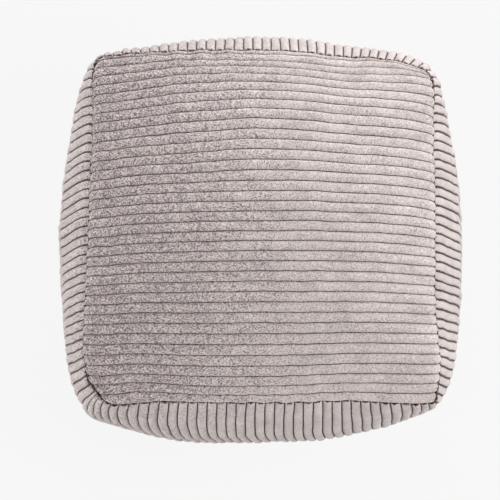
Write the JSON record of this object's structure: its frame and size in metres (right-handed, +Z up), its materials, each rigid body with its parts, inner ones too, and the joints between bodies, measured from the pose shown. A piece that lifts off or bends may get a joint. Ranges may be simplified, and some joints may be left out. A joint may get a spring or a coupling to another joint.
{
  "type": "bean bag footstool",
  "caption": "Square, plump bean bag footstool in wide-wale corduroy: a crowned top, bulging sides and a flat base, joined by plain seams.",
  "frame": {"origin": "on the floor, under the middle of the bag", "axes": "+Z up, -Y to the front, +X to the right; the wales of the top run along X"},
  "size_m": [0.3998, 0.3996, 0.3604],
  "materials": {
    "corduroy": "soft matt cut pile in wide rounded wales"
  },
  "bodies": {
    "root": {"top_panel": "corduroy", "side_panel_front": "corduroy", "side_panel_right": "corduroy", "side_panel_back": "corduroy", "side_panel_left": "corduroy", "base_panel": "corduroy"}
  },
  "joints": []
}
